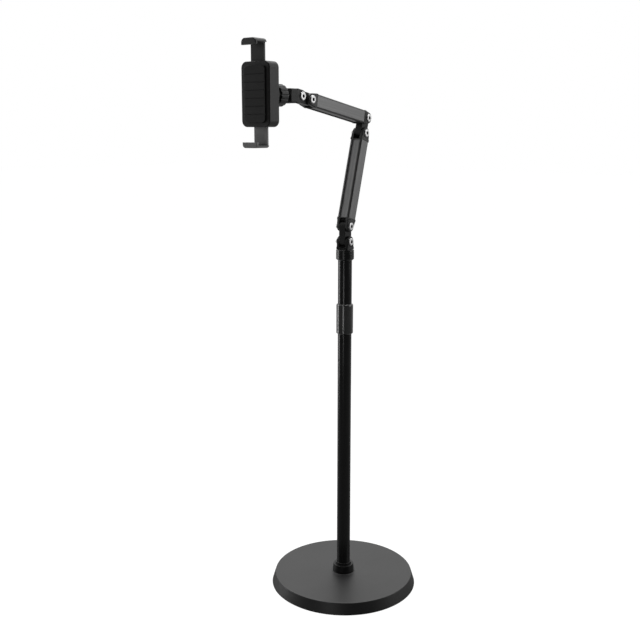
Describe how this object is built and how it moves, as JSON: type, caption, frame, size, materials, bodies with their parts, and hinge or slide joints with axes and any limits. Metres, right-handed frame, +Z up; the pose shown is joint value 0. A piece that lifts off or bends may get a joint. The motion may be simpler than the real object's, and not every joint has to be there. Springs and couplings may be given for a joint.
{
  "type": "adjustable tablet floor stand",
  "caption": "Floor stand for a tablet: weighted round base, telescopic pole with a twist lock, folding arms and a spring clamp holder on a ball joint.",
  "frame": {"origin": "centre of the base's resting face, on the pole's axis", "axes": "+Z up along the pole; -Y towards the side that the holder faces; the arms fold in the YZ plane and their pivots lie along X"},
  "size_m": [0.25, 0.3614, 0.9053],
  "materials": {
    "base_rubber": "matt rubber",
    "cast_iron": "raw casting",
    "base_paint": "fine-textured black powder coat",
    "zinc_steel": "zinc plated",
    "plain_aluminium": "as turned",
    "hub_plastic": "satin black",
    "tube_paint": "smooth satin black",
    "nylon": "natural nylon",
    "black_nylon": "matt black nylon",
    "collar_plastic": "satin dark grey",
    "mast_steel": "smooth satin black",
    "top_collar_plastic": "satin black",
    "knuckle_plastic": "satin black",
    "clevis_plastic": "satin dark grey",
    "link_metal": "satin black coat",
    "dark_anodised": "dark anodised",
    "brushed_aluminium": "grey brushed and anodised",
    "bright_steel": "bright turned",
    "black_screw_steel": "black oxide",
    "spring_steel": "drawn wire",
    "ring_plastic": "matt black",
    "socket_plastic": "satin black",
    "holder_plastic": "satin black",
    "jaw_plastic": "satin dark grey",
    "silicone": "matt silicone"
  },
  "bodies": {
    "base": {"base_pad": "base_rubber", "base_weight": "cast_iron", "base_cover": "base_paint", "foot_bolt": "zinc_steel", "foot_washer": "zinc_steel", "foot_plug": "plain_aluminium", "pole_hub": "hub_plastic", "lower_tube": "tube_paint", "collet": "nylon"},
    "twist_lock": {"lock_collar": "collar_plastic"},
    "mast": {"inner_mast": "mast_steel", "mast_slider": "nylon", "mast_sleeves": "nylon", "upper_tube": "tube_paint", "top_collar": "top_collar_plastic", "pan_bush": "nylon"},
    "head": {"head_clevis": "knuckle_plastic", "pan_spindle": "zinc_steel", "pan_circlip": "zinc_steel", "pan_washer": "black_nylon", "head_screw": "bright_steel", "head_nut": "bright_steel"},
    "base_knuckle": {"base_link": "link_metal", "base_link_washers": "black_nylon"},
    "lower_arm": {"lower_arm_beam": "dark_anodised", "lower_arm_side_plates": "brushed_aluminium", "lower_arm_inlays": "brushed_aluminium", "lower_arm_bottom_clevis": "clevis_plastic", "lower_arm_top_clevis": "clevis_plastic", "lower_arm_screws": "bright_steel", "lower_arm_nuts": "bright_steel"},
    "elbow_knuckle": {"elbow_link": "link_metal", "elbow_link_washers": "black_nylon"},
    "upper_arm": {"upper_arm_beam": "dark_anodised", "upper_arm_side_plates": "brushed_aluminium", "upper_arm_inlays": "brushed_aluminium", "upper_arm_rear_clevis": "clevis_plastic", "upper_arm_front_clevis": "clevis_plastic", "upper_arm_screws": "bright_steel", "upper_arm_nuts": "bright_steel"},
    "front_knuckle": {"front_link": "link_metal", "front_link_washers": "black_nylon"},
    "holder_mount": {"mount_knuckle": "knuckle_plastic", "mount_screw": "bright_steel", "mount_nut": "bright_steel", "ball_stud": "bright_steel"},
    "ball_socket": {"socket_cup": "socket_plastic", "roll_washer": "black_nylon", "roll_screw": "zinc_steel"},
    "ring_nut": {"lock_ring": "ring_plastic"},
    "holder": {"holder_rear_shell": "holder_plastic", "holder_front_shell": "holder_plastic", "shell_screws": "black_screw_steel", "front_pad": "silicone", "upper_jaw_spring": "spring_steel", "lower_jaw_spring": "spring_steel"},
    "top_jaw": {"upper_jaw": "jaw_plastic", "upper_jaw_pad": "silicone"},
    "bottom_jaw": {"lower_jaw": "jaw_plastic", "lower_jaw_pad": "silicone"}
  },
  "joints": [
    {"name": "collar_twist", "type": "hinge", "parent": "base", "child": "twist_lock", "pos_m": [0, 0, 0.4475], "axis": [0, 0, 1], "range_deg": [0, 90]},
    {"name": "mast_slide", "type": "slide", "parent": "base", "child": "mast", "axis": [0, 0, 1], "range_m": [0, 0.3]},
    {"name": "head_pan", "type": "hinge", "parent": "mast", "child": "head", "pos_m": [0, 0, 0.5883], "axis": [0, 0, 1], "continuous": true},
    {"name": "base_pivot", "type": "hinge", "parent": "head", "child": "base_knuckle", "pos_m": [0, 0, 0.602], "axis": [1, 0, 0], "range_deg": [-85, 85]},
    {"name": "lower_arm_pivot", "type": "hinge", "parent": "base_knuckle", "child": "lower_arm", "pos_m": [0, 0, 0.627], "axis": [1, 0, 0], "range_deg": [-73.8, 106.2]},
    {"name": "elbow_pivot", "type": "hinge", "parent": "lower_arm", "child": "elbow_knuckle", "pos_m": [0, 0.04324, 0.77585], "axis": [-1, 0, 0], "range_deg": [-68, 81.7]},
    {"name": "upper_arm_pivot", "type": "hinge", "parent": "elbow_knuckle", "child": "upper_arm", "pos_m": [0, 0.0495, 0.80005], "axis": [-1, 0, 0], "range_deg": [-5, 195]},
    {"name": "front_pivot", "type": "hinge", "parent": "upper_arm", "child": "front_knuckle", "pos_m": [0, -0.10337, 0.82563], "axis": [1, 0, 0], "range_deg": [-100, 100]},
    {"name": "holder_tilt", "type": "hinge", "parent": "front_knuckle", "child": "holder_mount", "pos_m": [0, -0.12803, 0.82976], "axis": [-1, 0, 0], "range_deg": [-80.5, 99.5]},
    {"name": "ball_swing", "type": "hinge", "parent": "holder_mount", "child": "ball_socket", "pos_m": [0, -0.17503, 0.82976], "axis": [0, 0, 1], "range_deg": [-25, 25]},
    {"name": "ring_nut_twist", "type": "hinge", "parent": "ball_socket", "child": "ring_nut", "pos_m": [0, -0.17503, 0.82976], "axis": [0, 1, 0], "range_deg": [0, 90]},
    {"name": "holder_roll", "type": "hinge", "parent": "ball_socket", "child": "holder", "pos_m": [0, -0.17503, 0.82976], "axis": [0, 1, 0], "continuous": true},
    {"name": "top_jaw_slide", "type": "slide", "parent": "holder", "child": "top_jaw", "axis": [0, 0, 1], "range_m": [-0.022, 0.038], "deforming": ["upper_jaw_spring"]},
    {"name": "bottom_jaw_slide", "type": "slide", "parent": "holder", "child": "bottom_jaw", "axis": [0, 0, -1], "range_m": [-0.022, 0.038], "deforming": ["lower_jaw_spring"]}
  ]
}
